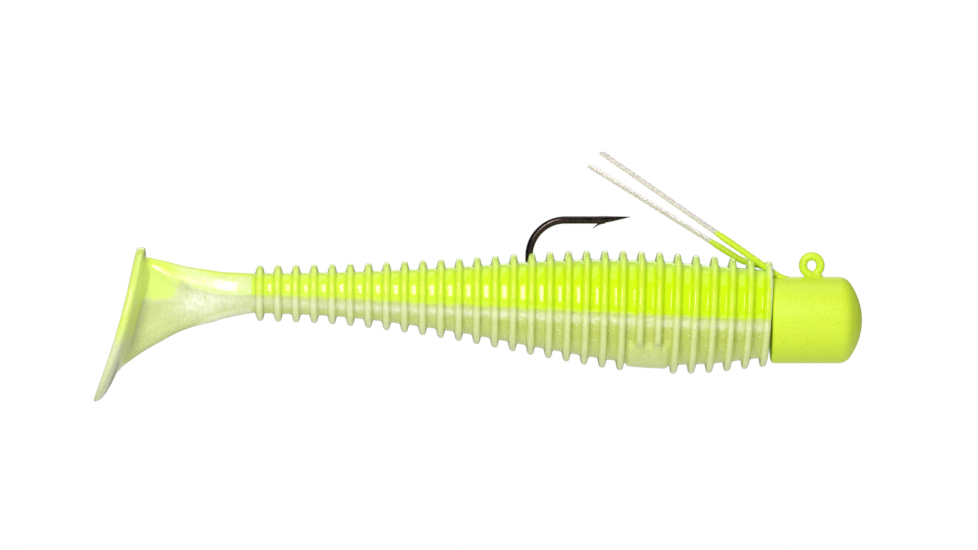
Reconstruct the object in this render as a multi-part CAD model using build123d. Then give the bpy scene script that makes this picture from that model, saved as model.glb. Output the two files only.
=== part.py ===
from build123d import *
from math import cos, radians, sin, tan
import os

# Ribbed paddle-tail swimbait on a weedless jig head.
# Millimetres. The origin is the centre of the line-tie eye, +X points to the nose,
# +Z to the side the hook point stands on, and Y runs across the bait.

# ---- Lead head
head_diameter = 9.68
head_axis_z = -6.10
head_back_x = -4.60
head_barrel = 8.32
nose_length = 1.90
nose_corner = 1.60
back_corner = 0.40
collar_diameter = 3.40
collar_length = 1.80
cast_gap = 0.02
lead_bond = 1.00

# ---- Hook and its line-tie eye
hook_wire = 0.90
eye_ring_diameter = 1.96
eye_land_diameter = 1.14
eye_neck_x = 0.45
shank_z = head_axis_z
neck_bend = 2.00
hook_rear_x = -31.65
hook_gap = 11.20
lower_bend = 4.60
upper_bend = 4.05
point_start_x = -23.90
point_length = 3.60
point_rise = 0.20
point_tip_diameter = 0.08
barb_length = 0.95
barb_height = 0.55
barb_width = 0.34
barb_root = 0.12

# ---- Bait keeper, a wire fork cast into the head
keeper_wire = 0.60
keeper_spread = 2.50
keeper_flare = 2.20
keeper_reach = 4.60
keeper_depth = 1.30
keeper_bend = 0.60

# ---- Weed guards: two stranded cables that leave the top of the head together
guard_cable = 0.56
guard_coated = 0.74
guard_exit = (-3.90, -1.10)
guard_seat_depth = 1.20
guard_side = 0.55
guard_boss_length = 1.10
guard_boss_diameter = 2.30
guard_boss_tip = 1.50
guard_knuckle = 0.86
guard_knuckle_gap = 0.05
guard_coat_end_x = -11.20
guard_bend_radius = 2.20
near_pivot = (-7.60, -0.99, 1.51)
near_tip = (-23.70, -3.60, 12.70)
far_elbow = (-5.30, 0.80, -0.10)
far_bend = (-7.80, 1.45, 0.52)
far_pivot = (-9.00, 1.60, 1.27)
far_tip = (-24.90, 3.60, 11.20)

# ---- Soft bait: a lathe-like ribbed body that thins towards the tail
bait_front_gap = 0.10
bait_length = 57.50
belly_roundness = 0.88
rib_count = 29
rib_thickness = 0.86
rib_round = 0.36
rib_height_front = 1.05
rib_height_tail = 0.88
rib_lean_front = 3.50
channel_gap = 0.05
# Share of the body's length, height of its middle, half of its height.
body_stations = (
    (0.000, -5.42, 4.85),
    (0.130, -5.50, 5.55),
    (0.260, -5.15, 5.76),
    (0.410, -4.50, 5.10),
    (0.620, -3.77, 3.58),
    (0.830, -3.25, 2.52),
    (1.000, -3.08, 2.22),
)
pad_ribs = (6, 7)
pad_proud = 0.45
pad_top_z = -8.90
pad_overhang = 1.35
pad_round = 0.27

# ---- Tail: an upright web that carries a leaning paddle
web_length = 12.40
web_thickness = 2.20
web_front_height = 4.30
web_top_z = 1.05
web_top_rise = 0.50
web_low_drop = 1.30
web_foot_height = 1.20
web_heel_back = 2.40
web_heel_z = -9.60
web_heel_drop = 1.50
web_middle = 0.55
paddle_height = 17.30
paddle_width = 12.60
paddle_thickness = 0.95
paddle_top_z = 2.05
paddle_mid_set = 1.75
paddle_tip_set = 4.95
paddle_over_top = 1.00

# ---- Two colours: the back is poured onto the belly along a sloping plane
seam_head_z = -6.00
seam_tail_z = -3.20
seam_drop = -0.40

# ---- Flexing: the bait bends at gaps between ribs, each a knuckle in a socket
lift_after_rib = 14
bend_after_ribs = (18, 22, 25, 28)
kick_after_wrist = 6.20
lift_angle = 12.0
bend_angle = 15.0
wrist_angle = 20.0
kick_angle = 35.0
notch_margin = 1.5
knuckle_share = 0.30
knuckle_gap = 0.06

section_names = ("front", "saddle", "waist", "middle", "rear", "wrist", "paddle")
tail_names = ("wrist", "paddle")

# Longer than the whole lure: the size of every cutter that has no size of its own.
REACH = 120.0
LINE_HALVINGS = 30

head_radius = head_diameter / 2
wire_radius = hook_wire / 2
body_front_x = head_back_x - bait_front_gap
body_rear_x = body_front_x - bait_length
paddle_top_x = body_rear_x - web_length
rib_pitch = (bait_length - rib_thickness) / (rib_count - 1)
point_z = shank_z + hook_gap


def mix(a, b, share):
    return a + (b - a) * share


def wire_along(path, diameter):
    start = Plane(origin=path @ 0, z_dir=path % 0)
    return sweep(start * Circle(diameter / 2), path=path)


def straight_wire(start, end, diameter):
    span = Vector(*end) - Vector(*start)
    place = Plane(origin=start, z_dir=span)
    return extrude(place * Circle(diameter / 2), span.length)


def side_face(*lines):
    """A face in the upright XZ plane, bounded by lines drawn as (x, z)."""
    edges = [edge for line in lines for edge in line.edges()]
    return Plane.XZ * make_face(edges)


def rod_across(x, z, diameter, length):
    place = Plane(origin=(x, 0, z), z_dir=(0, 1, 0))
    return extrude(place * Circle(diameter / 2), length / 2, both=True)


# ---- The body's lines, as smooth functions of the distance from its front

def body_line(column):
    return Spline(*[(row[0] * bait_length, row[column]) for row in body_stations])


MIDDLE_LINE = body_line(1)
HALF_HEIGHT_LINE = body_line(2)


def height_on(line, x):
    """Where a body line stands at x, found by halving the line."""
    goal = min(max(body_front_x - x, 0.0), bait_length)
    low, high = 0.0, 1.0
    for _ in range(LINE_HALVINGS):
        half = (low + high) / 2
        if (line @ half).X < goal:
            low = half
        else:
            high = half
    return (line @ low).Y


def body_middle(x):
    return height_on(MIDDLE_LINE, x)


def body_half_height(x):
    return height_on(HALF_HEIGHT_LINE, x)


def rib_x(index):
    return body_front_x - rib_thickness / 2 - index * rib_pitch


def gap_after(index):
    return rib_x(index) - rib_pitch / 2


def rib_height(index):
    return mix(rib_height_front, rib_height_tail, index / (rib_count - 1))


def rib_lean(index):
    return rib_lean_front * (1 - index / (rib_count - 1)) ** 2


def upright_plane(x, z, lean=0.0):
    tilt = radians(lean)
    return Plane(origin=(x, 0, z), x_dir=(0, 1, 0), z_dir=(-cos(tilt), 0, sin(tilt)))


# ---- Jig

def hook_path():
    top = eye_ring_diameter / 2 - wire_radius / 2
    points = [
        (eye_neck_x, 0, -top),
        (eye_neck_x, 0, shank_z),
        (hook_rear_x, 0, shank_z),
        (hook_rear_x, 0, point_z),
        (point_start_x, 0, point_z),
    ]
    return FilletPolyline(*points, radius=[neck_bend, lower_bend, upper_bend])


def hook_point():
    base = Plane(origin=(point_start_x, 0, point_z), z_dir=(1, 0, 0)) * Circle(wire_radius)
    tip_place = (point_start_x + point_length, 0, point_z + point_rise)
    tip = Plane(origin=tip_place, z_dir=(1, 0, 0)) * Circle(point_tip_diameter / 2)
    return loft([base, tip])


def hook_barb():
    under = point_z - wire_radius
    outline = Polyline(
        (point_start_x + barb_length / 2, under + barb_root),
        (point_start_x - barb_length / 2, under - barb_height),
        (point_start_x - barb_length / 4, under + barb_root),
        close=True,
    )
    return extrude(side_face(outline), barb_width / 2, both=True)


def line_tie_eye():
    """The round wire turned about Y, with a short straight land where a line clip runs."""
    section_face = Pos(eye_ring_diameter / 2, 0) * Circle(wire_radius)
    section_face -= Rectangle(eye_land_diameter, 4 * hook_wire)
    return revolve(section_face, axis=Axis.Y)


def make_hook():
    wire = wire_along(hook_path(), hook_wire)
    land = rod_across(0, 0, eye_land_diameter, 4 * hook_wire)
    return (wire - land) + line_tie_eye() + hook_point() + hook_barb()


def keeper_path():
    z = shank_z - wire_radius - keeper_wire / 2 - cast_gap
    front = head_back_x + keeper_depth
    rear = head_back_x - keeper_reach
    points = [
        (rear, keeper_spread / 2 + keeper_flare / 2, z),
        (head_back_x - collar_length, keeper_spread / 2, z),
        (front, keeper_spread / 2, z),
        (front, -keeper_spread / 2, z),
        (head_back_x - collar_length, -keeper_spread / 2, z),
        (rear, -keeper_spread / 2 - keeper_flare / 2, z),
    ]
    return FilletPolyline(*points, radius=keeper_bend)


def make_keeper(extra=0.0):
    return wire_along(keeper_path(), keeper_wire + 2 * extra)


def guard_seat(side, next_point):
    """The point inside the head where a guard cable ends, in line with its first run."""
    leave = Vector(guard_exit[0], side * guard_side, guard_exit[1])
    inward = (leave - Vector(*next_point)).normalized()
    return leave + inward * guard_seat_depth


def guard_socket(pivot):
    return rod_across(pivot[0], pivot[2], guard_knuckle + 2 * guard_knuckle_gap, REACH)


def near_root_body(diameter):
    return straight_wire(guard_seat(-1, near_pivot), near_pivot, diameter)


def far_root_body(diameter):
    seat = guard_seat(1, far_elbow)
    path = FilletPolyline(seat, far_elbow, far_bend, far_pivot, radius=guard_bend_radius)
    return wire_along(path, diameter)


def make_guard_roots():
    return {
        "guard_root_far": far_root_body(guard_coated) - guard_socket(far_pivot),
        "guard_root_near": near_root_body(guard_coated) - guard_socket(near_pivot),
    }


def make_guard_wire(pivot, tip):
    span = Vector(*tip) - Vector(*pivot)
    coat_share = (guard_coat_end_x - pivot[0]) / (tip[0] - pivot[0])
    coat_end = Vector(*pivot) + span * coat_share
    coated = straight_wire(pivot, coat_end, guard_coated)
    cable = straight_wire(pivot, tip, guard_cable)
    knuckle = Pos(0, pivot[1], 0) * rod_across(pivot[0], pivot[2], guard_knuckle, guard_coated)
    return coated + cable + knuckle


def guard_boss(extra=0.0):
    """The small cone of lead and paint that the two cables leave from."""
    leave = Vector(guard_exit[0], 0, guard_exit[1])
    along = (Vector(near_pivot[0], 0, near_pivot[2]) - leave).normalized()
    place = Plane(origin=leave - along * guard_boss_length, z_dir=along)
    base = place * Circle(guard_boss_diameter / 2 + extra)
    tip = place.offset(2 * guard_boss_length + extra) * Circle(guard_boss_tip / 2 + extra)
    return loft([base, tip])


def make_head(cast_in):
    shoulder_x = head_back_x + head_barrel
    nose_x = shoulder_x + nose_length
    top = head_axis_z + head_radius
    nose_arc_radius = (head_radius**2 + nose_length**2) / (2 * nose_length)
    barrel = Polyline(
        (nose_x, head_axis_z),
        (head_back_x, head_axis_z),
        (head_back_x, top),
        (shoulder_x, top),
    )
    dome = RadiusArc((shoulder_x, top), (nose_x, head_axis_z), nose_arc_radius)
    profile = make_face([*barrel.edges(), *dome.edges()])
    rim_corners = profile.vertices().group_by(Axis.Y)[-1].sort_by(Axis.X)
    profile = fillet(rim_corners[0], back_corner)
    rim_corners = profile.vertices().group_by(Axis.Y)[-1].sort_by(Axis.X)
    profile = fillet(rim_corners[-1], nose_corner)
    head = revolve(Plane.XZ * profile, axis=Axis((0, 0, head_axis_z), (1, 0, 0)))
    collar_place = Plane(origin=(head_back_x + lead_bond, 0, head_axis_z), z_dir=(-1, 0, 0))
    head += extrude(collar_place * Circle(collar_diameter / 2), collar_length + lead_bond)
    head += guard_boss()
    return head - cast_in


# ---- Soft bait

def bait_core():
    sections = []
    for share, middle, half in body_stations:
        place = upright_plane(body_front_x - share * bait_length, middle)
        sections.append(place * Ellipse(half * belly_roundness, half))
    return loft(sections)


def bait_rib(index):
    x = rib_x(index)
    half = body_half_height(x) + rib_height(index)
    wide = body_half_height(x) * belly_roundness + rib_height(index)
    place = upright_plane(x + rib_thickness / 2, body_middle(x), rib_lean(index))
    rib = extrude(place * Ellipse(wide, half), rib_thickness)
    rib = fillet(rib.edges(), rib_round)
    if index in pad_ribs:
        rib -= Pos(x, 0, pad_top_z - REACH / 2) * Box(REACH, REACH, REACH)
    return rib


def bait_pad():
    front = rib_x(pad_ribs[0]) + pad_overhang
    rear = rib_x(pad_ribs[-1]) - pad_overhang
    x = (front + rear) / 2
    half = body_half_height(x) + pad_proud
    wide = body_half_height(x) * belly_roundness + pad_proud
    place = upright_plane(front, body_middle(x))
    pad = extrude(place * Ellipse(wide, half), front - rear)
    pad &= Pos(x, 0, pad_top_z - REACH / 2) * Box(REACH, REACH, REACH)
    return fillet(pad.edges().filter_by(GeomType.LINE, reverse=True), pad_round)


def paddle_line(shift):
    """The paddle's bow seen from the side, from its top to its tip, moved back by shift."""
    top = (paddle_top_x - shift, paddle_top_z + paddle_over_top)
    middle = (paddle_top_x - paddle_mid_set - shift, paddle_top_z - paddle_height / 2)
    tip = (paddle_top_x - paddle_tip_set - shift, paddle_top_z - paddle_height)
    return ThreePointArc(top, middle, tip)


def tail_web():
    front = body_rear_x + rib_pitch
    mid = body_middle(body_rear_x)
    half = web_front_height / 2
    spine = paddle_line(paddle_thickness / 2)
    foot_z = paddle_top_z - paddle_height + web_foot_height
    foot_x = paddle_top_x - paddle_tip_set
    top = Spline(
        (front, mid + half),
        (mix(front, paddle_top_x, web_middle), mid + half + web_top_rise),
        (paddle_top_x - paddle_thickness / 2, web_top_z),
    )
    low = Spline(
        (foot_x, foot_z),
        (paddle_top_x - web_heel_back, web_heel_z - web_heel_drop),
        (paddle_top_x, web_heel_z),
        (mix(front, paddle_top_x, web_middle), mid - half - web_low_drop),
        (front, mid - half),
    )
    behind = Polyline(top @ 1, spine @ 0.5, low @ 0)
    front_edge = Line(low @ 1, top @ 0)
    return extrude(side_face(top, behind, low, front_edge), web_thickness / 2, both=True)


def paddle_plate():
    front = paddle_line(0)
    rear = paddle_line(paddle_thickness)
    ends = [Line(front @ 1, rear @ 1), Line(rear @ 0, front @ 0)]
    plate = extrude(side_face(front, rear, *ends), paddle_width, both=True)
    oval_place = Plane(
        origin=(paddle_top_x + paddle_width, 0, paddle_top_z - paddle_height / 2),
        x_dir=(0, 1, 0),
        z_dir=(-1, 0, 0),
    )
    return plate & extrude(oval_place * Ellipse(paddle_width / 2, paddle_height / 2), 2 * paddle_width)


def jig_room():
    """What the jig takes out of the front of the bait."""
    collar_place = Plane(origin=(head_back_x, 0, head_axis_z), z_dir=(-1, 0, 0))
    collar = extrude(collar_place * Circle(collar_diameter / 2 + channel_gap), collar_length + channel_gap)
    guard_room = guard_coated + 2 * channel_gap
    roots = [far_root_body(guard_room), near_root_body(guard_room)]
    shank = wire_along(hook_path(), hook_wire + 2 * channel_gap)
    head_side = Pos(body_front_x + REACH / 2, 0, 0) * Box(REACH, REACH, REACH)
    return [shank, make_keeper(channel_gap), collar, guard_boss(channel_gap), head_side, *roots]


# ---- Cutting the bait where it flexes

class Flex:
    """One place where the bait bends: its height, its knuckle and its notch."""

    def __init__(self, name, x, half_width, angle, upright):
        self.name = name
        self.x = x
        self.z = body_middle(x)
        self.upright = upright
        self.knuckle = half_width * knuckle_share
        self.slope = tan(radians(angle / 2 + notch_margin))

    def place(self):
        if self.upright:
            return Plane(origin=(self.x, 0, self.z), x_dir=(1, 0, 0), z_dir=(0, 0, 1))
        return Plane(origin=(self.x, 0, self.z), x_dir=(1, 0, 0), z_dir=(0, 1, 0))

    def slab(self, toward):
        """All that lies past the bend on one side, pointed like a roof towards the axis."""
        side = REACH / 4
        lean = toward * side * self.slope
        end = toward * REACH
        outline = Polyline((0, 0), (lean, side), (end, side), (end, -side), (lean, -side), close=True)
        return self.place() * extrude(make_face(outline), REACH / 4, both=True)

    def rod(self, radius):
        return extrude(self.place() * Circle(radius), REACH / 4, both=True)

    def behind(self):
        return self.slab(-1) + self.rod(self.knuckle)

    def ahead(self):
        return self.slab(1) - self.rod(self.knuckle + knuckle_gap)


def side_half(x):
    return body_half_height(x) * belly_roundness


def bait_flexes():
    lift_x = gap_after(lift_after_rib)
    flexes = [Flex("lift", lift_x, body_half_height(lift_x), lift_angle, upright=False)]
    for number, index in enumerate(bend_after_ribs):
        x = gap_after(index)
        angle = wrist_angle if index == bend_after_ribs[-1] else bend_angle
        flexes.append(Flex(f"bend_{number}", x, side_half(x), angle, upright=True))
    kick_x = gap_after(bend_after_ribs[-1]) - kick_after_wrist
    flexes.append(Flex("kick", kick_x, web_thickness, kick_angle, upright=True))
    return flexes


def section_ribs(front_flex, rear_flex):
    front_x = front_flex.x if front_flex else body_front_x
    rear_x = rear_flex.x if rear_flex else -REACH
    return [index for index in range(rib_count) if rear_x < rib_x(index) < front_x]


def bait_section(core, front_flex, rear_flex):
    ribs = section_ribs(front_flex, rear_flex)
    piece = core
    if ribs:
        piece = piece + [bait_rib(index) for index in ribs]
    if pad_ribs[0] in ribs:
        piece = piece + bait_pad()
    if front_flex:
        piece = piece & front_flex.behind()
    else:
        piece = piece - jig_room()
    if rear_flex:
        piece = piece & rear_flex.ahead()
    return piece


def back_colour_room():
    """Everything above the plane where the two colours meet."""
    outline = Polyline(
        (REACH, seam_head_z - (REACH - body_front_x) * (seam_tail_z - seam_head_z) / (-bait_length)),
        (body_front_x, seam_head_z),
        (body_rear_x, seam_tail_z),
        (-REACH, seam_tail_z + seam_drop * (REACH + body_rear_x) / bait_length),
        (-REACH, REACH),
        (REACH, REACH),
        close=True,
    )
    return extrude(side_face(outline), REACH, both=True)


def make_bait_nodes():
    flexes = bait_flexes()
    fronts = [None, *flexes]
    rears = [*flexes, None]
    body = bait_core()
    tail = tail_web() + paddle_plate()
    above = back_colour_room()
    nodes = {}
    for name, front_flex, rear_flex in zip(section_names, fronts, rears):
        core = tail if name in tail_names else body
        piece = bait_section(core, front_flex, rear_flex)
        nodes[f"{name}_back"] = piece & above
        nodes[f"{name}_belly"] = piece - above
    return nodes


def print_flexes():
    for flex in bait_flexes():
        print(f"{flex.name}: x {flex.x:.3f} z {flex.z:.3f} knuckle {flex.knuckle:.3f}")


def main():
    os.makedirs("parts", exist_ok=True)
    hook = make_hook()
    keeper = make_keeper()
    roots = make_guard_roots()
    full_roots = [far_root_body(guard_coated), near_root_body(guard_coated)]
    eye_room = Plane.XZ * Torus(eye_ring_diameter / 2, wire_radius + cast_gap)
    wire_room = [wire_along(hook_path(), hook_wire + 2 * cast_gap), make_keeper(cast_gap), eye_room]
    nodes = {
        "jig_head": make_head([*wire_room, *full_roots]),
        "hook": hook,
        "bait_keeper": keeper,
        **roots,
        "guard_wire_far": make_guard_wire(far_pivot, far_tip),
        "guard_wire_near": make_guard_wire(near_pivot, near_tip),
    }
    nodes.update(make_bait_nodes())
    print_flexes()
    for name, shape in nodes.items():
        export_step(shape, f"parts/{name}.step")


main()
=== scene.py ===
"""A ribbed paddle-tail swimbait on a weedless jig head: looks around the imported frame.

Everything is in metres. +X points to the nose, +Z to the side the hook point stands on.
"""
import math

import bmesh
import bpy
from mathutils import Matrix, Quaternion, Vector


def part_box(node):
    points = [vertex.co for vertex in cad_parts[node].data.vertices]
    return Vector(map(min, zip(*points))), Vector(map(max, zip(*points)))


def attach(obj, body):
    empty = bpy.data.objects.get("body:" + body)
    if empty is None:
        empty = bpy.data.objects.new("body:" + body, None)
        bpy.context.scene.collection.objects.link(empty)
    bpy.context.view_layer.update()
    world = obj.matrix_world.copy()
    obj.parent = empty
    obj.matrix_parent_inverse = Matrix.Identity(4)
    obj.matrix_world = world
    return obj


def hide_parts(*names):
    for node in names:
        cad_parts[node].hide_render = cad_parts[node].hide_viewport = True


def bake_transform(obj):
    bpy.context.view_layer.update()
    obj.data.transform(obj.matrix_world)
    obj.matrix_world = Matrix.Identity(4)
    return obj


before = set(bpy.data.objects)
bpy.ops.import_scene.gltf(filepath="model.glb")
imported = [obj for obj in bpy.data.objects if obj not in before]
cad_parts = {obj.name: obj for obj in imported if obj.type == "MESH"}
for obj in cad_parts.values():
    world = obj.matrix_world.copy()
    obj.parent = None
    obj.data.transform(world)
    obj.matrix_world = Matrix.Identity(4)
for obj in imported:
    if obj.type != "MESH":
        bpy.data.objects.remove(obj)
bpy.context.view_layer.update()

MM = 0.001

# ---- Sizes, read from the frame where it holds them

HEAD_LOW, HEAD_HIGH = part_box("jig_head")
HEAD_RADIUS = (HEAD_HIGH.y - HEAD_LOW.y) / 2
HEAD_AXIS_Z = HEAD_LOW.z + HEAD_RADIUS
HEAD_BACK_X = -4.60 * MM
NOSE_X = HEAD_HIGH.x
NOSE_LENGTH = 1.90 * MM
NOSE_CORNER = 1.60 * MM
BACK_CORNER = 0.40 * MM
COLLAR_RADIUS = 1.70 * MM

WIRE_RADIUS = 0.45 * MM
# The black wire is a little under the painted one.
BARE_WIRE_RADIUS = WIRE_RADIUS * 0.93
PAINT_SKIN = 0.015 * MM
EYE_RING_RADIUS = 0.98 * MM
EYE_NECK_X = 0.62 * MM
# Where the eye's ring starts and ends, in degrees from +X towards +Z.
EYE_RING_SPAN = (-58, 253)
EYE_RAISE = 0.06 * MM
# The rings of paint where a wire leaves the head, in mm: foot radius, neck radius and length.
LEG_FLARE = (0.86, 0.47, 0.42)
END_FLARE = (0.72, 0.44, 0.26)
GUARD_FLARE = (0.56, 0.36, 1.50)
FLARE_SUNK = 0.30 * MM
# The hook: its shank lies on the head's axis.
SHANK_Z = HEAD_AXIS_Z
HOOK_GAP = 11.20 * MM
HOOK_REAR_X = -31.65 * MM
LOWER_BEND = 4.60 * MM
UPPER_BEND = 4.05 * MM
POINT_START_X = -23.90 * MM
POINT_LENGTH = 3.60 * MM
POINT_RISE = 0.20 * MM
POINT_TIP_RADIUS = 0.02 * MM
# The barb's foot and tip in mm: past the point's start, below the wire, and radius.
BARB_ALONG = (0.75, -0.62)
BARB_DROP = (-0.22, 0.50)
BARB_RADII = (0.20, 0.025)

GUARD_CABLE_RADIUS = 0.28 * MM
GUARD_COAT_RADIUS = 0.37 * MM
GUARD_EXIT_X = -3.90 * MM
GUARD_EXIT_Z = -1.10 * MM
GUARD_SIDE = 0.55 * MM
GUARD_SEAT_DEPTH = 1.20 * MM
# One full turn of the six outer wires, and the spacing of points along them.
GUARD_LAY = 4.20 * MM
GUARD_STEP = 0.20 * MM
# The paint thins out over its last part, and its skin dips between the wires.
COAT_TAPER = 1.40 * MM
COAT_GROOVE = 0.08
# Each guard: its side, its corners outside the head, its fold and where its paint ends, in mm.
GUARDS = (
    (
        "near",
        -1,
        ((-7.60, -0.99, 1.51), (-23.70, -3.60, 12.70)),
        (-7.60, -0.99, 1.51),
        -10.90,
    ),
    (
        "far",
        1,
        ((-5.30, 0.80, -0.10), (-7.80, 1.45, 0.52), (-24.90, 3.60, 11.20)),
        (-9.00, 1.60, 1.27),
        -11.50,
    ),
)

BAIT_FRONT_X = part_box("front_back")[1].x
RIB_COUNT = 29
RIB_THICKNESS = 0.86 * MM
BAIT_LENGTH = 57.50 * MM
RIB_PITCH = (BAIT_LENGTH - RIB_THICKNESS) / (RIB_COUNT - 1)
RIB_HEIGHT_FRONT = 1.05 * MM
RIB_HEIGHT_TAIL = 0.88 * MM
RIB_LEAN_FRONT = math.radians(3.5)
# The body's width as a share of its height.
ROUNDNESS = 0.88
# Share of the body's length, height of its middle, half of its height.
BODY_STATIONS = (
    (0.000, -5.42, 4.85),
    (0.130, -5.50, 5.55),
    (0.260, -5.15, 5.76),
    (0.410, -4.50, 5.10),
    (0.620, -3.77, 3.58),
    (0.830, -3.25, 2.52),
    (1.000, -3.08, 2.22),
)
# The smooth gate pad under the belly takes the place of these ribs.
PAD_RIBS = (6, 7)
PAD_PROUD = 0.45 * MM
PAD_TOP_Z = -8.90 * MM
PAD_OVERHANG = 1.35 * MM
PAD_EDGE = 0.30 * MM
PAD_FADE = 0.16 * MM
SEAM_HEAD_Z = -6.00 * MM
SEAM_TAIL_Z = -3.20 * MM

PADDLE_TOP_Z = 2.05 * MM
PADDLE_HEIGHT = 17.30 * MM
PADDLE_WIDTH = 12.60 * MM
PADDLE_THICKNESS = 0.95 * MM
PADDLE_TOP_X = -74.60 * MM
# How far behind its top the paddle's middle and its tip stand.
PADDLE_MID_SET = 1.75 * MM
PADDLE_TIP_SET = 4.95 * MM

# Points round every ring of the soft skins.
AROUND = 96
# Share of the tail where the wrist's skin ends and the paddle's begins.
WRIST_END = 0.30
FLOOR_Z = -90 * MM


# ---- Small helpers

def mix(a, b, share):
    return a + (b - a) * share


def ease(low, high, value):
    """0 below low, 1 above high, smooth between."""
    share = min(max((value - low) / (high - low), 0.0), 1.0)
    return share * share * (3 - 2 * share)


def smooth_line(points, x):
    """A smooth curve through (x, y) points, read at x."""
    last = len(points) - 1
    x = min(max(x, points[0][0]), points[-1][0])
    k = max(i for i in range(last) if points[i][0] <= x)

    def slope(i):
        before, after = points[max(i - 1, 0)], points[min(i + 1, last)]
        return (after[1] - before[1]) / (after[0] - before[0])

    (x0, y0), (x1, y1) = points[k], points[k + 1]
    width = x1 - x0
    t = (x - x0) / width
    rise = (2 * t - 3) * t * t + 1
    return (
        rise * y0
        + (1 - rise) * y1
        + (t - 1) ** 2 * t * width * slope(k)
        + (t - 1) * t * t * width * slope(k + 1)
    )


def new_piece(name, bm, material):
    mesh = bpy.data.meshes.new(name)
    bm.to_mesh(mesh)
    bm.free()
    piece = bpy.data.objects.new(name, mesh)
    bpy.context.scene.collection.objects.link(piece)
    piece.data.materials.append(material)
    for face in mesh.polygons:
        face.use_smooth = True
    return piece


def fresh_verts(result):
    return [item for item in result["geom"] if isinstance(item, bmesh.types.BMVert)]


def fresh_edges(result):
    return [item for item in result["geom"] if isinstance(item, bmesh.types.BMEdge)]


def ring_matrix(centre, across, up):
    """Takes a unit circle drawn in XY to a ring at centre: its X goes across, its Y goes up."""
    normal = across.cross(up).normalized()
    matrix = Matrix((across, up, normal)).transposed().to_4x4()
    matrix.translation = centre
    return matrix


def loft_rings(rings, around):
    """A tube through rings, each a matrix that places a unit circle; the caps are sharp."""
    bm = bmesh.new()
    start = bmesh.ops.create_circle(bm, cap_ends=False, radius=1.0, segments=around)
    verts = start["verts"]
    edges = list({edge for vert in verts for edge in vert.link_edges})
    placed = Matrix.Identity(4)
    loops = []
    for number, ring in enumerate(rings):
        if number:
            result = bmesh.ops.extrude_edge_only(bm, edges=edges)
            verts, edges = fresh_verts(result), fresh_edges(result)
        bmesh.ops.transform(bm, matrix=ring @ placed.inverted(), verts=verts)
        placed = ring
        loops.append((verts, edges))
    for _, edges in (loops[0], loops[-1]):
        for edge in edges:
            edge.smooth = False
        bmesh.ops.contextual_create(bm, geom=edges)
    bmesh.ops.recalc_face_normals(bm, faces=bm.faces)
    return bm, loops


# ---- Materials

def linear(hexcode):
    """An sRGB hex colour as linear RGBA."""
    values = [int(hexcode[i:i + 2], 16) / 255 for i in (1, 3, 5)]
    return [v / 12.92 if v <= 0.04045 else ((v + 0.055) / 1.055) ** 2.4 for v in values] + [1.0]


def new_material(name):
    material = bpy.data.materials.new(name)
    material.use_nodes = True
    return material, material.node_tree.nodes["Principled BSDF"]


def add_node(material, kind, settings=None, **links):
    """Adds a node. settings are its properties or socket values; links are socket=source socket."""
    node = material.node_tree.nodes.new(kind)
    for key, value in (settings or {}).items():
        if key in node.inputs:
            node.inputs[key].default_value = value
        else:
            setattr(node, key, value)
    for key, source in links.items():
        material.node_tree.links.new(source, node.inputs[key])
    return node


def join_sockets(material, source, target):
    material.node_tree.links.new(source, target)


def blend_colours(material, share, first, second):
    """first where share is 0 and second where it is 1; each is a hex colour or a socket."""
    node = add_node(material, "ShaderNodeMix", {"data_type": "RGBA"})
    join_sockets(material, share, node.inputs[0])
    for socket, value in ((node.inputs[6], first), (node.inputs[7], second)):
        if isinstance(value, str):
            socket.default_value = linear(value)
        else:
            join_sockets(material, value, socket)
    return node.outputs[2]


def set_base_colour(material, shader, share, first, second):
    colour = blend_colours(material, share, first, second)
    join_sockets(material, colour, shader.inputs["Base Color"])


def grain(material, size, detail=2.0, roughness=0.5):
    """Noise whose spots are about size metres across, fixed to the object."""
    place = add_node(material, "ShaderNodeTexCoord").outputs["Object"]
    settings = {"Scale": 1 / size, "Detail": detail, "Roughness": roughness}
    return add_node(material, "ShaderNodeTexNoise", settings, Vector=place).outputs["Fac"]


def rescale(material, source, low, high, to_low=0.0, to_high=1.0):
    settings = {"From Min": low, "From Max": high, "To Min": to_low, "To Max": to_high}
    return add_node(material, "ShaderNodeMapRange", settings, Value=source).outputs["Result"]


def bump(material, shader, height, strength, depth):
    settings = {"Strength": strength, "Distance": depth}
    node = add_node(material, "ShaderNodeBump", settings, Height=height)
    join_sockets(material, node.outputs["Normal"], shader.inputs["Normal"])


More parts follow.
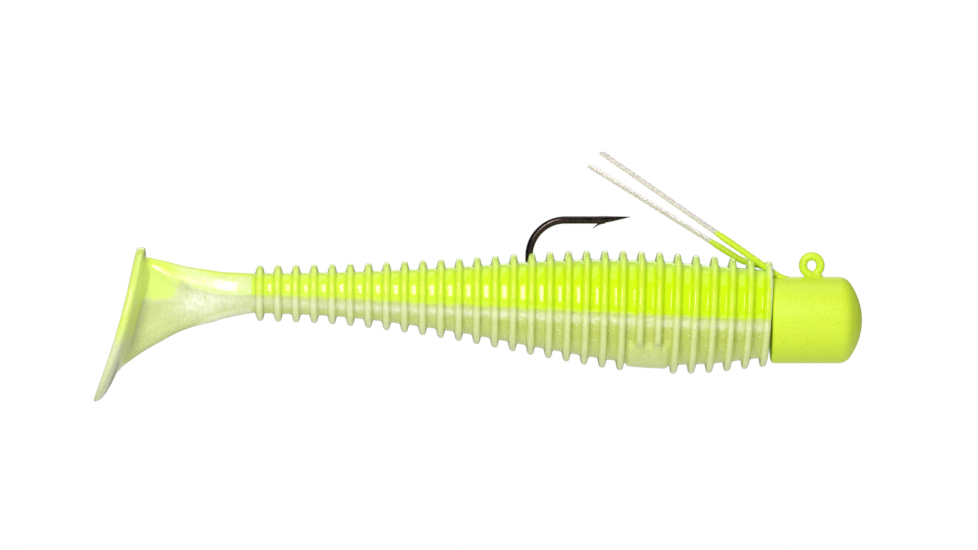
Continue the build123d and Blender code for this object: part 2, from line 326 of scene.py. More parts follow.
def plastisol_material():
    """Soft PVC plastisol, poured in two colours: oily gloss over a cloudy, translucent body.

    The back is fluorescent chartreuse; the belly is clear pearl with fine glitter.
    """
    material, shader = new_material("two_colour_plastisol")

    def stored(name):
        return add_node(material, "ShaderNodeAttribute", {"attribute_name": name}).outputs["Fac"]

    def maths(operation, first, second):
        node = add_node(material, "ShaderNodeMath", {"operation": operation})
        join_sockets(material, first, node.inputs[0])
        join_sockets(material, second, node.inputs[1])
        return node.outputs[0]

    thin, tail = stored("backlit_thin_share"), stored("tail_share")
    # Painted light: where the plastic is thin (rib tips, ribs seen edge-on, the body's top edge,
    # the web's edges, the paddle) its colour is made paler, as if lit through.
    back_deep = blend_colours(material, tail, "#D6F400", "#DFF75C")
    back_backlit_thin = blend_colours(material, tail, "#DDF67E", "#DDF086")
    back = blend_colours(material, thin, back_deep, back_backlit_thin)
    belly_deep = blend_colours(material, tail, "#C8D65C", "#C9D390")
    belly_low = blend_colours(material, stored("low_share"), belly_deep, "#DBE98A")
    belly_backlit_thin = blend_colours(material, tail, "#E4EEB0", "#EDF3D2")
    belly = blend_colours(material, thin, belly_low, belly_backlit_thin)
    # Cloudy streaks 1 to 2 mm across in the clear plastic.
    cloud_and_sheen = rescale(material, grain(material, 1.3 * MM, 4.0, 0.65), 0.35, 0.65, 0, 0.45)
    belly = blend_colours(material, cloud_and_sheen, belly, "#D9E38E")
    # Glitter: flakes of about 0.1 mm, each lying at its own angle; painted glints make a few of
    # them near white, and painted shade makes others darker.
    place = add_node(material, "ShaderNodeTexCoord").outputs["Object"]
    flakes = add_node(material, "ShaderNodeTexVoronoi", {"Scale": 1 / (0.24 * MM)}, Vector=place)
    near_flake = rescale(material, flakes.outputs["Distance"], 0.40, 0.20)
    angles = add_node(material, "ShaderNodeSeparateColor", Color=flakes.outputs["Color"])
    turned = angles.outputs["Red"]
    fewer_at_tail = rescale(material, tail, 0, 1, 1, 0.35)
    glint_strength = maths("MULTIPLY", rescale(material, turned, 0.72, 0.86, 0, 0.85), fewer_at_tail)
    painted_glint = maths("MULTIPLY", near_flake, glint_strength)
    painted_dark_flake = maths("MULTIPLY", near_flake, rescale(material, turned, 0.42, 0.20, 0, 0.30))
    belly = blend_colours(material, painted_dark_flake, belly, "#9FAE5C")
    belly = blend_colours(material, painted_glint, belly, "#FBFCEC")
    # The seam wanders a few tenths of a millimetre.
    wander = rescale(material, grain(material, 0.9 * MM, 5.0, 0.6), 0.3, 0.7, -0.22, 0.22)
    back_here = rescale(material, maths("ADD", stored("back_share"), wander), 0.25, 0.75)
    colour = blend_colours(material, back_here, belly, back)
    patchy = rescale(material, grain(material, 0.5 * MM, 4.0, 0.6), 0.25, 0.60)
    # Painted highlights: near-white patches under the seam, on the front rim, on the wrist's top
    # band and on the web's flank.
    painted_sheen = maths("MULTIPLY", stored("painted_highlight_share"), patchy)
    set_base_colour(material, shader, painted_sheen, colour, "#F6F9E6")
    shader.inputs["IOR"].default_value = 1.50
    shader.inputs["Subsurface Weight"].default_value = 0.30
    shader.inputs["Subsurface Radius"].default_value = (1.0, 1.0, 0.35)
    shader.inputs["Subsurface Scale"].default_value = 0.40 * MM
    sheen = rescale(material, grain(material, 0.6 * MM, 3.0), 0.3, 0.7, 0.07, 0.18)
    join_sockets(material, sheen, shader.inputs["Roughness"])
    bump(material, shader, grain(material, 0.45 * MM, 3.0), 0.22, 0.05 * MM)
    return material


def powder_paint_material():
    """Baked vinyl powder paint over lead: orange peel of 0.2 mm under a satin fluorescent skin."""
    material, shader = new_material("fluorescent_powder_paint")
    speck = rescale(material, grain(material, 0.16 * MM, 4.0, 0.75), 0.32, 0.68)
    set_base_colour(material, shader, speck, "#C6E21C", "#E2FC38")
    shader.inputs["Roughness"].default_value = 0.38
    shader.inputs["IOR"].default_value = 1.5
    bump(material, shader, grain(material, 0.22 * MM, 4.0, 0.7), 0.55, 0.06 * MM)
    return material


def black_nickel_material():
    """Black-nickel plate over carbon steel: a dark mirror with a slight brown cast."""
    material, shader = new_material("black_nickel_plate")
    tone = rescale(material, grain(material, 0.5 * MM, 3.0), 0.3, 0.7)
    set_base_colour(material, shader, tone, "#2B2626", "#473C38")
    shader.inputs["Metallic"].default_value = 1.0
    join_sockets(material, rescale(material, tone, 0, 1, 0.12, 0.22), shader.inputs["Roughness"])
    return material


def stainless_material():
    """Drawn stainless wire, cold-bright with faint drawing streaks."""
    material, shader = new_material("drawn_stainless_wire")
    tone = rescale(material, grain(material, 0.15 * MM, 2.0), 0.3, 0.7)
    set_base_colour(material, shader, tone, "#DCD3C8", "#FFFBF4")
    shader.inputs["Metallic"].default_value = 0.4
    join_sockets(material, rescale(material, tone, 0, 1, 0.22, 0.38), shader.inputs["Roughness"])
    return material


def floor_material():
    """Matt white studio sheet with a very faint mottle."""
    material, shader = new_material("matt_white_sheet")
    mottle = rescale(material, grain(material, 8 * MM, 2.0), 0.3, 0.7)
    set_base_colour(material, shader, mottle, "#F6F6F4", "#FAFAF9")
    shader.inputs["Roughness"].default_value = 0.9
    return material


PLASTISOL = plastisol_material()
POWDER_PAINT = powder_paint_material()
BLACK_NICKEL = black_nickel_material()
STAINLESS = stainless_material()


# ---- The soft body's shape

def body_share(x):
    return (BAIT_FRONT_X - x) / BAIT_LENGTH


def body_middle(x):
    return smooth_line([(row[0], row[1] * MM) for row in BODY_STATIONS], body_share(x))


def body_half(x):
    return smooth_line([(row[0], row[2] * MM) for row in BODY_STATIONS], body_share(x))


def rib_x(index):
    return BAIT_FRONT_X - RIB_THICKNESS / 2 - index * RIB_PITCH


def rib_lean(x):
    return RIB_LEAN_FRONT * (1 - min(max(body_share(x), 0), 1)) ** 2


def rib_height(index):
    return mix(RIB_HEIGHT_FRONT, RIB_HEIGHT_TAIL, index / (RIB_COUNT - 1))


# A rib's half outline: distance from its middle in mm, and its share of the rib's height.
RIB_OUTLINE = (
    (0.740, 0.000),
    (0.600, 0.020),
    (0.520, 0.080),
    (0.470, 0.200),
    (0.430, 0.400),
    (0.385, 0.600),
    (0.330, 0.790),
    (0.240, 0.930),
    (0.120, 0.990),
)
SEAM_SOFTNESS = 0.55 * MM
# A painted highlight, a pale line under the seam: its height from the seam and its reach.
SEAM_HIGHLIGHT = (-0.85 * MM, 0.45 * MM)
# A painted highlight along the cut rim at the bait's front, from where it starts to where it is
# full.
FRONT_RIM_HIGHLIGHT = (0.16 * MM, 0.02 * MM)
SURFACE_MARKS = ("back_share", "backlit_thin_share", "tail_share", "painted_highlight_share", "low_share")


def rib_rings(index):
    """(x, how far the surface stands out) for one rib, from its nose side to its tail side."""
    height = rib_height(index)
    side = [(offset * MM, share * height) for offset, share in RIB_OUTLINE]
    middle = rib_x(index)
    front = [(middle + offset, out) for offset, out in side]
    back = [(middle - offset, out) for offset, out in reversed(side)]
    return front + [(middle, height)] + back


def gap_after(index):
    return rib_x(index) - RIB_PITCH / 2


def body_rings(first_rib, last_rib):
    """Rings from mid-gap before the first rib to mid-gap after the last."""
    rings = []
    for index in range(first_rib, last_rib + 1):
        rings.append((gap_after(index - 1), 0.0))
        rings += rib_rings(index)
    if first_rib == 0:
        rings = [ring for ring in rings if ring[0] < BAIT_FRONT_X + 0.01 * MM]
    return rings + [(gap_after(last_rib), 0.0)]


def body_ring_matrix(x, out):
    lean = rib_lean(x)
    half = body_half(x) + out
    wide = body_half(x) * ROUNDNESS + out
    up = Vector((math.sin(lean), 0, math.cos(lean))) * half
    return ring_matrix(Vector((x, 0, body_middle(x))), Vector((0, wide, 0)), up)


def seam_z(x):
    return mix(SEAM_HEAD_Z, SEAM_TAIL_Z, min(max(body_share(x), 0.0), 1.0))


def pad_share(x):
    """1 over the smooth gate pad under the belly, 0 away from it."""
    front = rib_x(PAD_RIBS[0]) + PAD_OVERHANG
    rear = rib_x(PAD_RIBS[-1]) - PAD_OVERHANG
    return ease(rear - PAD_EDGE, rear + PAD_EDGE, x) * ease(front + PAD_EDGE, front - PAD_EDGE, x)


def smooth_gate_pad(rings, loops):
    """Takes the pad's ribs away below its top and swells the belly there."""
    for (x, out), (verts, _) in zip(rings, loops):
        share = pad_share(x)
        if share <= 0:
            continue
        middle = Vector((x, 0, body_middle(x)))
        for vert in verts:
            rounded = PAD_TOP_Z + PAD_EDGE * (1 - out / RIB_HEIGHT_FRONT)
            below = ease(rounded + PAD_FADE, rounded - PAD_FADE, vert.co.z)
            if below <= 0:
                continue
            core = body_half(x)
            grown = core + out
            spoke = vert.co - middle
            wanted = core + PAD_PROUD
            vert.co = middle + spoke * mix(1.0, wanted / grown, below * share)


def mark_surface(piece, describe):
    """Stores for each point how much it is back colour, painted see-through light, tail, painted
    highlight and low; describe returns the five.
    """
    rows = [describe(vert.co) for vert in piece.data.vertices]
    for column, name in enumerate(SURFACE_MARKS):
        layer = piece.data.attributes.new(name, "FLOAT", "POINT")
        layer.data.foreach_set("value", [row[column] for row in rows])


def bell(value, middle, reach):
    return math.exp(-((value - middle) / reach) ** 2)


def describe_body(co):
    x, z = co.x, co.z
    above = z - seam_z(x)
    back = ease(-SEAM_SOFTNESS, SEAM_SOFTNESS, above)
    half = body_half(x)
    spoke = Vector((co.y / ROUNDNESS, z - body_middle(x)))
    proud = min(max((spoke.length - half) / RIB_HEIGHT_FRONT, 0.0), 1.0)
    upright = abs(spoke.y) / max(spoke.length, MM)
    # Painted light: the body's top edge and the proud ribs, most where they stand edge-on, are made
    # paler as if lit through.
    edge = ease(0.80, 1.0, spoke.y / half) * 0.8
    facing = mix(0.60, 0.14, back)
    thin = max(proud ** 1.5 * mix(facing, 1.0, ease(0.60, 0.97, upright)), edge)
    tail = 0.65 * ease(0.30, 1.0, body_share(x))
    # Painted highlights: the plastic is made palest just under the seam, and along the cut front
    # rim.
    painted_sheen = 0.8 * bell(above, *SEAM_HIGHLIGHT) * (1 - 0.5 * proud)
    rim = ease(*FRONT_RIM_HIGHLIGHT, BAIT_FRONT_X - x)
    low = ease(-0.45, -0.95, spoke.y / half)
    return back, thin, tail, max(painted_sheen, rim), low


def body_piece(name, first_rib, last_rib):
    rings = body_rings(first_rib, last_rib)
    matrices = [body_ring_matrix(x, out) for x, out in rings]
    bm, loops = loft_rings(matrices, AROUND)
    smooth_gate_pad(rings, loops)
    piece = new_piece(name, bm, PLASTISOL)
    mark_surface(piece, describe_body)
    return piece


# ---- The tail: a waist that flares into an upright web and a leaning paddle

TAIL_START_X = rib_x(RIB_COUNT - 1) - RIB_OUTLINE[0][0] * MM
# How far the web stops before the paddle, below and at the top; a fillet takes up the rest.
WEB_END_GAP = (0.25 * MM, 0.70 * MM)
WEB_END_X = PADDLE_TOP_X + 0.90 * MM
# Along the tail: share, then in mm top z, bottom z, half width of top band, half width of flank.
WEB_STATIONS = (
    (0.00, -0.86, -5.30, 1.95, 1.95),
    (0.16, -0.79, -5.62, 1.64, 1.60),
    (0.34, -0.68, -6.10, 1.44, 1.32),
    (0.54, -0.14, -7.12, 1.32, 1.08),
    (0.70, 0.50, -8.97, 1.24, 0.92),
    (0.86, 0.80, -10.80, 1.18, 0.86),
    (1.00, 0.90, -11.75, 1.14, 0.95),
)
# Where the thicker top band ends below, as a share of the web's height from -1 to 1.
BAND_EDGE = ((0.00, -0.04), (0.25, 0.05), (0.51, 0.26), (0.74, 0.66), (0.88, 0.79), (1.00, 0.86))
# The paddle's rim in mm: how far each ring draws in at its sides and top, how far it sits behind
# the front, and how far it draws in at the tip, which is thinner.
RIM_OUTLINE = (
    (0.45, 0.00, 1.70),
    (0.16, 0.05, 0.90),
    (0.03, 0.20, 0.34),
    (0.00, 0.45, 0.08),
    (0.03, 0.72, 0.00),
    (0.16, 0.90, 0.12),
    (0.45, 0.95, 0.45),
)
PADDLE_MIDDLE_Z = PADDLE_TOP_Z - PADDLE_HEIGHT / 2
# How far the paddle's middle swells forward, on its face and on its back.
PADDLE_SWELL = (0.50 * MM, 0.15 * MM)
# Rings over the paddle: shares of the way out to its rim, then shares of the back's oval inwards.
FRONT_SPREADS = (0.06, 0.14, 0.26, 0.42, 0.60, 0.80)
BACK_SCALES = (0.85, 0.65, 0.45, 0.25, 0.10, 0.02)
# Where the yellow runs down the flank next to the paddle, from none to full.
FLANK_YELLOW_X = (-69.6 * MM, -72.4 * MM)
FLANK_YELLOW_Z = (-4.6 * MM, -3.0 * MM)
# Where a painted highlight makes the top band pale, next to the last rib.
BAND_HIGHLIGHT_X = (-72.6 * MM, -69.0 * MM)
BAND_HIGHLIGHT_DEPTH = (0.15 * MM, 0.75 * MM)
# The thin lower edge of the web, and how close to the paddle's face its own colour takes over.
WEB_EDGE_DEPTH = (0.95 * MM, 0.45 * MM)
PADDLE_REACH = (0.45 * MM, 0.10 * MM)
# The paddle turns from pearl to yellow between these heights.
PADDLE_SEAM_Z = (-10.5 * MM, -5.3 * MM)
# Painted highlights, bright patches in the flank: x, z, reach along, reach up in mm, and strength.
FLANK_HIGHLIGHTS = ((-68.7, -4.1, 2.3, 1.5, 0.95), (-64.6, -3.9, 2.4, 0.8, 0.55))


def paddle_bow(z):
    """The x of the paddle's front face at height z, seen from the side."""
    share = (z - PADDLE_MIDDLE_Z) / (PADDLE_HEIGHT / 2)
    middle_x = PADDLE_TOP_X - PADDLE_MID_SET
    lean = PADDLE_TIP_SET / 2 * share
    bow = (PADDLE_MID_SET - PADDLE_TIP_SET / 2) * share * share
    return middle_x + lean + bow


def web_value(share, column):
    return smooth_line([(row[0], row[column]) for row in WEB_STATIONS], share) * MM


def flat_side(up):
    return math.sqrt(max(1 - up ** 6, 0.0))


def round_side(up):
    return math.sqrt(max(1 - up * up, 0.0))


def web_gap(up):
    """How far the web stops before the paddle, at a share of its height from -1 to 1."""
    return mix(*WEB_END_GAP, ease(-0.2, 0.9, up))


def web_point(share, up, side):
    """A point of the waist and web: up runs from -1 to 1 over its height, side says which flank."""
    z = mix(web_value(share, 2), web_value(share, 1), (up + 1) / 2)
    upright_x = mix(TAIL_START_X, WEB_END_X, share)
    edge = smooth_line(BAND_EDGE, share)
    in_band = ease(edge - 0.07, edge + 0.07, up)
    half = mix(web_value(share, 4), web_value(share, 3), in_band)
    width = mix(round_side(up), flat_side(up), ease(0.10, 0.80, share))
    y = half * width
    end_x = paddle_front(y, z) + web_gap(up)
    x = mix(upright_x, end_x, ease(0.35, 1.0, share))
    return Vector((x, math.copysign(y, side), z))


def paddle_front(y, z, swell=PADDLE_SWELL[0]):
    """The x of the paddle's swelling face: it stands furthest forward in the middle."""
    across, along = y / (PADDLE_WIDTH / 2), (z - PADDLE_MIDDLE_Z) / (PADDLE_HEIGHT / 2)
    return paddle_bow(z) + swell * max(1 - across * across - along * along, 0.0)


def paddle_point(spread, up, side, row):
    """A point of the paddle: spread is 0 at the web and 1 at the rim; row is of RIM_OUTLINE."""
    draw_in, behind, draw_tip = (value * MM for value in row)
    rise = spread * spread
    top = mix(web_value(1.0, 1), PADDLE_TOP_Z - draw_in, rise)
    bottom = mix(web_value(1.0, 2), PADDLE_TOP_Z - PADDLE_HEIGHT + draw_tip, rise)
    z = mix(bottom, top, (up + 1) / 2)
    half = mix(web_value(1.0, 4), PADDLE_WIDTH / 2 - draw_in, spread)
    y = half * mix(flat_side(up), round_side(up), spread)
    fillet = web_gap(up) * (1 - spread) ** 4
    swell = mix(*PADDLE_SWELL, behind / PADDLE_THICKNESS)
    return Vector((paddle_front(y, z, swell) + fillet - behind, math.copysign(y, side), z))


def paddle_back_point(scale, up, side):
    """A point of the paddle's hollow back, on an oval that is scale times the rim's."""
    draw_side, behind, draw_tip = (value * MM for value in RIM_OUTLINE[-1])
    z = PADDLE_MIDDLE_Z + scale * up * (PADDLE_HEIGHT / 2 - draw_tip)
    y = scale * round_side(up) * (PADDLE_WIDTH / 2 - draw_side)
    return Vector((paddle_front(y, z, PADDLE_SWELL[1]) - behind, math.copysign(y, side), z))


def tail_piece(name, from_share, to_share, steps, with_body=False, with_paddle=False):
    """The last rib and the waist, or the web and the paddle, in one skin."""
    rings = body_rings(RIB_COUNT - 1, RIB_COUNT - 1)[:-1] if with_body else []
    matrices = [body_ring_matrix(x, out) for x, out in rings]
    places = [None] * len(rings)
    first = 1 if with_body else 0
    for step in range(first, steps + 1):
        places.append(("web", mix(from_share, to_share, step / steps)))
    if with_paddle:
        places += [("front", spread) for spread in FRONT_SPREADS]
        places += [("rim", row) for row in RIM_OUTLINE]
        places += [("rear", scale) for scale in BACK_SCALES]
    plain = ring_matrix(Vector(), Vector((0, 1, 0)), Vector((0, 0, 1)))
    matrices += [plain] * (len(places) - len(rings))
    bm, loops = loft_rings(matrices, AROUND)
    for edge in loops[-1][1]:
        edge.smooth = with_paddle
    for place, (verts, _) in zip(places, loops):
        if place is None:
            continue
        kind, value = place
        for vert in verts:
            side, up = vert.co.y, max(min(vert.co.z, 1.0), -1.0)
            if kind == "web":
                vert.co = web_point(value, up, side)
            elif kind == "front":
                vert.co = paddle_point(value, up, side, RIM_OUTLINE[0])
            elif kind == "rim":
                vert.co = paddle_point(1.0, up, side, value)
            else:
                vert.co = paddle_back_point(value, up, side)
    bmesh.ops.recalc_face_normals(bm, faces=bm.faces)
    piece = new_piece(name, bm, PLASTISOL)
    mark_surface(piece, describe_tail)
    return piece


def describe_tail(co):
    if co.x > TAIL_START_X:
        return describe_body(co)
    x, z = co.x, co.z
    share = min((TAIL_START_X - x) / (TAIL_START_X - WEB_END_X), 1.0)
    top, bottom = web_value(share, 1), web_value(share, 2)
    up = 2 * (z - bottom) / (top - bottom) - 1
    on_paddle = ease(*PADDLE_REACH, x - paddle_front(co.y, z))
    # The yellow back colour fills the top band, and runs down the flank next to the paddle.
    edge = smooth_line(BAND_EDGE, share)
    in_band = ease(edge - 0.10, edge + 0.06, up)
    near_paddle = 0.9 * ease(*FLANK_YELLOW_X, x) * ease(*FLANK_YELLOW_Z, z)
    paddle_back = ease(*PADDLE_SEAM_Z, z)
    back = mix(max(in_band, near_paddle), paddle_back, on_paddle)
    # Painted light: thin plastic is made paler, as if lit through from behind: the band next to the
    # last rib, both edges of the web and the rim.
    band_highlight = in_band * ease(*BAND_HIGHLIGHT_X, x) * ease(*BAND_HIGHLIGHT_DEPTH, top - z)
    bottom_edge = ease(*WEB_EDGE_DEPTH, z - bottom)
    thin = mix(max(band_highlight, bottom_edge, 0.8 * near_paddle * (1 - in_band)), 0.70, on_paddle)
    cloud_and_sheen = sum(
        strength * bell(x, at_x * MM, along * MM) * bell(z, at_z * MM, rise * MM)
        for at_x, at_z, along, rise, strength in FLANK_HIGHLIGHTS
    )
    painted_sheen = mix(max(cloud_and_sheen * (1 - in_band), 0.45 * band_highlight), 0.0, on_paddle)
    return back, thin, 1.0, min(painted_sheen, 1.0), bottom_edge * (1 - on_paddle)


# ---- Tubes along a route, for the hook and the cables

def arc_points(centre, radius, start, end, steps):
    """Points on an arc in the upright plane, angles in degrees from +X towards +Z."""
    angles = [math.radians(mix(start, end, step / steps)) for step in range(steps + 1)]
    return [centre + radius * Vector((math.cos(a), 0, math.sin(a))) for a in angles]


def tube(name, points, radii, around, material):
    """A closed tube through points with a radius at each."""
    rings = []
    side = None
    for k, point in enumerate(points):
        ahead = points[min(k + 1, len(points) - 1)] - points[max(k - 1, 0)]
        ahead.normalize()
        if side is None:
            side = ahead.cross(Vector((0, 0, 1)) if abs(ahead.z) < 0.9 else Vector((1, 0, 0)))
        side = (side - ahead * side.dot(ahead)).normalized()
        rings.append(ring_matrix(point, side * radii[k], ahead.cross(side) * radii[k]))
    bm, _ = loft_rings(rings, around)
    return new_piece(name, bm, material)


def join_pieces(name, pieces):
    """Joins closed solids into one piece that keeps each as it is."""
    bm = bmesh.new()
    for piece in pieces:
        bm.from_mesh(piece.data)
    joined = new_piece(name, bm, pieces[0].data.materials[0])
    for piece in pieces:
        mesh = piece.data
        bpy.data.objects.remove(piece)
        bpy.data.meshes.remove(mesh)
    return joined


# ---- The jig

def lathe(name, outline, axis_point, axis, material, steps=128):
    """Turns an outline of points about an axis; ends on the axis close up."""
    bm = bmesh.new()
    last = bmesh.ops.create_vert(bm, co=outline[0])["vert"]
    for point in outline[1:]:
        last = bmesh.ops.extrude_vert_indiv(bm, verts=last)["verts"]
        last[0].co = point
    bmesh.ops.spin(
        bm,
        geom=bm.verts[:] + bm.edges[:],
        cent=axis_point,
        axis=axis,
        steps=steps,
        angle=2 * math.pi,
        use_merge=True,
    )
    bmesh.ops.remove_doubles(bm, verts=bm.verts, dist=0.001 * MM)
    bmesh.ops.recalc_face_normals(bm, faces=bm.faces)
    return new_piece(name, bm, material)


def head_piece():
    """The lead barrel with its domed nose, and the collar that the bait slides over."""
    def at(x, radius):
        return Vector((x, 0, HEAD_AXIS_Z + radius))

    dome_radius = (HEAD_RADIUS ** 2 + NOSE_LENGTH ** 2) / (2 * NOSE_LENGTH)
    dome_centre = NOSE_X - dome_radius
    outline = [at(HEAD_LOW.x, 0), at(HEAD_LOW.x, COLLAR_RADIUS), at(HEAD_BACK_X, COLLAR_RADIUS)]
    for step in range(9):
        angle = math.radians(mix(180, 90, step / 8))
        x = HEAD_BACK_X + BACK_CORNER * (1 + math.cos(angle))
        outline.append(at(x, HEAD_RADIUS - BACK_CORNER * (1 - math.sin(angle))))
    # The nose corner rolls from the barrel onto the dome: its circle touches both from inside.
    roll_z = HEAD_RADIUS - NOSE_CORNER
    roll_x = dome_centre + math.sqrt((dome_radius - NOSE_CORNER) ** 2 - roll_z ** 2)
    touch = math.degrees(math.atan2(roll_z, roll_x - dome_centre))
    for step in range(11):
        angle = math.radians(mix(90, touch, step / 10))
        x = roll_x + NOSE_CORNER * math.cos(angle)
        outline.append(at(x, roll_z + NOSE_CORNER * math.sin(angle)))
    for step in range(1, 25):
        angle = math.radians(mix(touch, 0, step / 24))
        x = dome_centre + dome_radius * math.cos(angle)
        outline.append(at(x, dome_radius * math.sin(angle)))
    return lathe("painted_head", outline, (0, 0, HEAD_AXIS_Z), (1, 0, 0), POWDER_PAINT)


def paint_flare(name, foot, direction, sizes):
    """The concave ring of paint where a wire leaves the head."""
    foot_radius, neck_radius, length = (size * MM for size in sizes)
    side = direction.orthogonal().normalized()
    sunk = foot - direction * FLARE_SUNK
    outline = [sunk, sunk + side * foot_radius * 1.15]
    for step in range(9):
        share = step / 8
        radius = neck_radius + (foot_radius - neck_radius) * (1 - share) ** 2.4
        outline.append(foot + direction * (length * share) + side * radius)
    outline.append(foot + direction * length)
    return lathe(name, outline, foot, direction, POWDER_PAINT, steps=40)


def eye_piece():
    """The line-tie eye: the hook's wire bent round into a ring, all of it painted."""
    leg = [Vector((EYE_NECK_X, 0, -2.2 * MM)), Vector((EYE_NECK_X + 0.02 * MM, 0, -1.5 * MM))]
    ring = arc_points(Vector(), EYE_RING_RADIUS, *EYE_RING_SPAN, 44)
    for point in ring:
        point.z += EYE_RAISE * ease(-1.0, 1.0, point.z / EYE_RING_RADIUS)
    leg.append(mix(leg[-1], ring[0], 0.62) + Vector((0.015 * MM, 0, 0)))
    foot = [ring[-1] + Vector((0.10, 0, -0.28)) * MM, ring[-1] + Vector((0.16, 0, -0.70)) * MM]
    points = leg + ring + foot
    radii = [WIRE_RADIUS + PAINT_SKIN] * len(points)
    wire = tube("eye_wire", points, radii, 28, POWDER_PAINT)
    top = HEAD_AXIS_Z + HEAD_RADIUS
    up = Vector((0, 0, 1))
    leg_foot = Vector((EYE_NECK_X, 0, top - 0.04 * MM))
    end_foot = Vector((-0.33 * MM, 0, top - 0.05 * MM))
    leg_flare = paint_flare("leg_flare", leg_foot, up, LEG_FLARE)
    end_flare = paint_flare("end_flare", end_foot, up, END_FLARE)
    return join_pieces("painted_line_tie", [wire, leg_flare, end_flare])


def guard_flare(label, side, next_corner):
    """The small cone of paint where one cable leaves the head."""
    leave = Vector((GUARD_EXIT_X, side * GUARD_SIDE, GUARD_EXIT_Z))
    along = (Vector(next_corner) * MM - leave).normalized()
    foot = leave - along * 0.9 * MM
    return paint_flare(f"guard_flare_{label}", foot, along, GUARD_FLARE)


def hook_route():
    """The hook's centre line from inside the head to where its point begins."""
    rear, high = HOOK_REAR_X, SHANK_Z + HOOK_GAP
    low_centre = Vector((rear + LOWER_BEND, 0, SHANK_Z + LOWER_BEND))
    high_centre = Vector((rear + UPPER_BEND, 0, high - UPPER_BEND))
    shank = [Vector((mix(-3.0 * MM, low_centre.x, step / 8), 0, SHANK_Z)) for step in range(8)]
    lower = arc_points(low_centre, LOWER_BEND, 270, 180, 20)
    upper = arc_points(high_centre, UPPER_BEND, 180, 90, 24)
    spear = [Vector((mix(high_centre.x, POINT_START_X, step / 4), 0, high)) for step in range(1, 5)]
    return shank + lower + upper + spear


def hook_piece():
    route = hook_route()
    radii = [BARE_WIRE_RADIUS] * len(route)
    steps = 14
    for step in range(1, steps + 1):
        share = step / steps
        rise = POINT_RISE * share + WIRE_RADIUS * 0.35 * share ** 1.5
        route.append(Vector((POINT_START_X + POINT_LENGTH * share, 0, SHANK_Z + HOOK_GAP + rise)))
        radii.append(BARE_WIRE_RADIUS * (1 - share ** 1.25) + POINT_TIP_RADIUS)
    wire = tube("hook_wire", route, radii, 32, BLACK_NICKEL)
    under = SHANK_Z + HOOK_GAP - WIRE_RADIUS
    barb_route, barb_radii = [], []
    for step in range(9):
        share = step / 8
        x = POINT_START_X + mix(*BARB_ALONG, share) * MM
        drop = mix(*BARB_DROP, share ** 1.7) * MM
        barb_route.append(Vector((x, 0, under - drop)))
        barb_radii.append(mix(*BARB_RADII, share) * MM)
    barb = tube("barb", barb_route, barb_radii, 14, BLACK_NICKEL)
    return join_pieces("black_nickel_hook", [wire, barb])


# ---- The weed guards

def guard_route(side, bends):
    """The centre line of one cable, from its seat in the head to its cut tip, evenly stepped."""
    leave = Vector((GUARD_EXIT_X, side * GUARD_SIDE, GUARD_EXIT_Z))
    inward = (leave - bends[0]).normalized()
    corners = [leave + inward * GUARD_SEAT_DEPTH, *bends]
    points = []
    for k in range(len(corners) - 1):
        span = corners[k + 1] - corners[k]
        count = max(int(span.length / GUARD_STEP), 1)
        points += [corners[k] + span * (step / count) for step in range(count)]
    points.append(corners[-1])
    for _ in range(6):
        inner = [(a + b * 2 + c) / 4 for a, b, c in zip(points, points[1:], points[2:])]
        points = [points[0], *inner, points[-1]]
    return points


def route_lengths(points):
    lengths = [0.0]
    for a, b in zip(points, points[1:]):
        lengths.append(lengths[-1] + (b - a).length)
    return lengths


def twisted(points, turn, radius, end_short):
    """The points moved out to a helix about their line; it stops end_short before the end."""
    lengths = route_lengths(points)
    total = lengths[-1] - end_short
    out = []
    for k, point in enumerate(points):
        if lengths[k] > total:
            break
        ahead = (points[min(k + 1, len(points) - 1)] - points[max(k - 1, 0)]).normalized()
        side = ahead.cross(Vector((0, 1, 0))).normalized()
        angle = turn + 2 * math.pi * lengths[k] / GUARD_LAY
        out.append(point + Quaternion(ahead, angle) @ side * radius)
    return out


def cable_piece(name, route):
    """Six stainless wires laid round a seventh."""
    wire = GUARD_CABLE_RADIUS / 3
    strands = [tube(name + "_core", route, [wire] * len(route), 8, STAINLESS)]
    for number in range(6):
        line = twisted(route, number * math.pi / 3, wire * 2, 0.05 * MM * ((number * 3) % 5))
        strands.append(tube(f"{name}_{number}", line, [wire * 1.02] * len(line), 10, STAINLESS))
    return join_pieces(name, strands)


def coat_piece(name, route, end_x):
    """Powder paint over the lower end of a cable, thin enough that the lay of the wires shows."""
    around = 36
    points = [point for point in route if point.x > end_x]
    lengths = route_lengths(points)
    edge_radius = GUARD_CABLE_RADIUS + 0.01 * MM
    radii = [
        mix(edge_radius, GUARD_COAT_RADIUS, ease(0, COAT_TAPER, lengths[-1] - length))
        for length in lengths
    ]
    coat = tube(name, points, radii, around, POWDER_PAINT)
    for ring, point in enumerate(points):
        ahead = (points[min(ring + 1, len(points) - 1)] - points[max(ring - 1, 0)]).normalized()
        across = ahead.cross(Vector((0, 1, 0))).normalized()
        turn = 2 * math.pi * lengths[ring] / GUARD_LAY
        for vert in coat.data.vertices[ring * around:(ring + 1) * around]:
            spoke = vert.co - point
            angle = math.atan2(spoke.dot(ahead.cross(across)), spoke.dot(across))
            groove = 0.5 + 0.5 * math.cos(6 * (angle - turn))
            vert.co = point + spoke * (1 - COAT_GROOVE * groove)
    return coat


# ---- Building and fastening the pieces

# Each ribbed skin: its ribs, the bodies ahead and behind, their joint, and its CAD section.
BAIT_PIECES = (
    ("bait_skin_front", 0, 16, "jig", "bait_saddle", "saddle_lift", "front"),
    ("bait_skin_saddle", 17, 20, "bait_saddle", "bait_waist", "waist_bend", "saddle"),
    ("bait_skin_waist", 21, 24, "bait_waist", "bait_middle", "middle_bend", "waist"),
    ("bait_skin_rear", 25, 27, "bait_middle", "bait_rear", "rear_bend", "middle"),
)


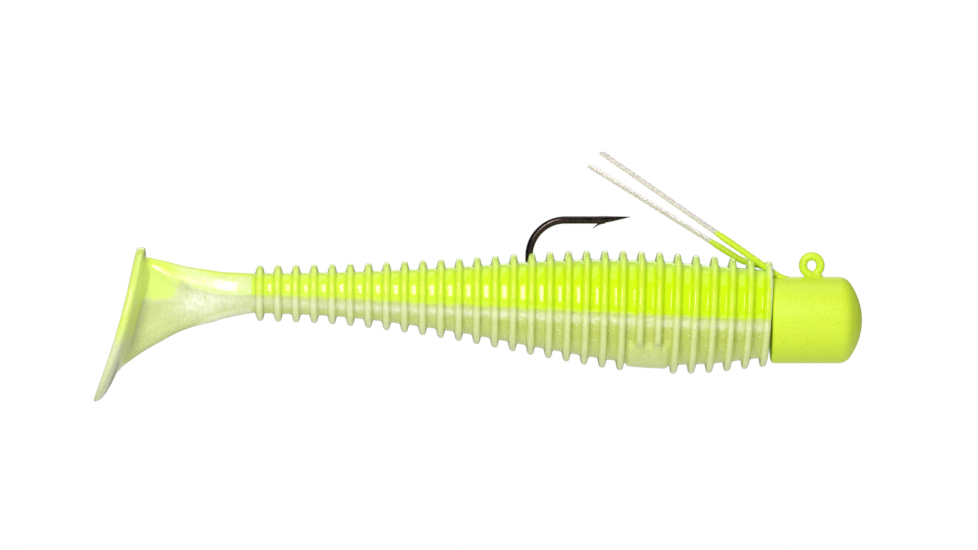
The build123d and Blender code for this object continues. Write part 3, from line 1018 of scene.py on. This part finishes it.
def bend_skin(piece):
    """Bakes a piece's placement into its mesh."""
    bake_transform(piece)


def build_bait():
    for name, first, last, ahead, behind, joint, section in BAIT_PIECES:
        piece = body_piece(name, first, last)
        bend_skin(piece)
        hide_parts(f"{section}_back", f"{section}_belly")
    wrist = tail_piece("bait_skin_wrist", 0.0, WRIST_END, 12, with_body=True)
    bend_skin(wrist)
    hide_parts("rear_back", "rear_belly")
    paddle = tail_piece("bait_skin_paddle", WRIST_END, 1.0, 26, with_paddle=True)
    bend_skin(paddle)
    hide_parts("wrist_back", "wrist_belly", "paddle_back", "paddle_belly")


def build_jig():
    head = head_piece()
    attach(head, "jig")
    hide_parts("jig_head")
    for label, side, corners, _, _ in GUARDS:
        flare = guard_flare(label, side, corners[0])
        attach(flare, "jig")
    eye = eye_piece()
    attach(eye, "jig")
    hook = hook_piece()
    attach(hook, "jig")
    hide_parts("hook")
    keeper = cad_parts["bait_keeper"]
    keeper.data.materials.clear()
    keeper.data.materials.append(STAINLESS)


def build_guards():
    for label, side, corners, pivot, coat_end_x in GUARDS:
        bends = [Vector(corner) * MM for corner in corners]
        pivot = Vector(pivot) * MM
        route = guard_route(side, bends)
        cable = cable_piece(f"guard_cable_{label}", route)
        coat = coat_piece(f"guard_paint_{label}", route, coat_end_x * MM)
        for piece in (cable, coat):
            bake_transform(piece)
        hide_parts(f"guard_root_{label}", f"guard_wire_{label}")


# ---- Studio

VIEW_WIDTH = 109.5 * MM
VIEW_MIDDLE = Vector((-36.13, 0, -1.06)) * MM
CAMERA_DISTANCE = 0.62
CAMERA_RISE = math.radians(1.5)
# How strongly the white room lights the object, and how strongly gloss reflects it.
WORLD_LIGHT = 0.30
WORLD_GLOSS = 0.18
# Each soft box: its place from the middle of the view, its width and height, its power in watts.
SOFT_BOXES = (
    ("key_box", (-0.096, -0.358, 0.197), 0.10, 0.26, 1.10),
    ("low_box", (0.02, -0.42, -0.035), 0.36, 0.030, 0.08),
    ("side_box", (0.34, -0.22, 0.10), 0.10, 0.20, 0.16),
    ("top_box", (0.05, 0.02, 0.40), 0.36, 0.22, 0.30),
    ("back_box", (-0.05, 0.36, 0.16), 0.36, 0.14, 0.22),
)


def build_camera():
    data = bpy.data.cameras.new("camera")
    data.sensor_width = 36
    data.lens = data.sensor_width * CAMERA_DISTANCE / VIEW_WIDTH
    data.clip_start = 0.01
    camera = bpy.data.objects.new("camera", data)
    back = Vector((0, -math.cos(CAMERA_RISE), math.sin(CAMERA_RISE)))
    camera.location = VIEW_MIDDLE + back * CAMERA_DISTANCE
    camera.rotation_euler = (-back).to_track_quat("-Z", "Y").to_euler()
    bpy.context.scene.collection.objects.link(camera)
    bpy.context.scene.camera = camera


def soft_box(name, away, width, height, power):
    data = bpy.data.lights.new(name, "AREA")
    data.shape = "RECTANGLE"
    data.size, data.size_y = width, height
    data.energy = power
    light = bpy.data.objects.new(name, data)
    light.location = VIEW_MIDDLE + Vector(away)
    light.rotation_euler = (-Vector(away)).to_track_quat("-Z", "Y").to_euler()
    bpy.context.scene.collection.objects.link(light)


def build_studio():
    """A room that the camera sees white and gloss sees dim, so the boxes draw the highlights."""
    world = bpy.data.worlds.new("white_studio")
    bpy.context.scene.world = world
    world.use_nodes = True
    tree = world.node_tree
    path = tree.nodes.new("ShaderNodeLightPath")
    shaders = []
    for strength in (WORLD_LIGHT, WORLD_GLOSS, 1.0):
        shader = tree.nodes.new("ShaderNodeBackground")
        shader.inputs["Color"].default_value = (1, 1, 1, 1)
        shader.inputs["Strength"].default_value = strength
        shaders.append(shader.outputs[0])
    shown = shaders[0]
    for ray, other in (("Is Glossy Ray", shaders[1]), ("Is Camera Ray", shaders[2])):
        pick = tree.nodes.new("ShaderNodeMixShader")
        tree.links.new(path.outputs[ray], pick.inputs[0])
        tree.links.new(shown, pick.inputs[1])
        tree.links.new(other, pick.inputs[2])
        shown = pick.outputs[0]
    tree.links.new(shown, tree.nodes["World Output"].inputs["Surface"])
    for box in SOFT_BOXES:
        soft_box(*box)
    bm = bmesh.new()
    bmesh.ops.create_grid(bm, x_segments=8, y_segments=8, size=0.5)
    bmesh.ops.translate(bm, vec=(VIEW_MIDDLE.x, 0, FLOOR_Z), verts=bm.verts)
    floor = new_piece("floor", bm, floor_material())
    bpy.context.scene.view_settings.view_transform = "Standard"


build_camera()
build_studio()
build_bait()
build_jig()
build_guards()
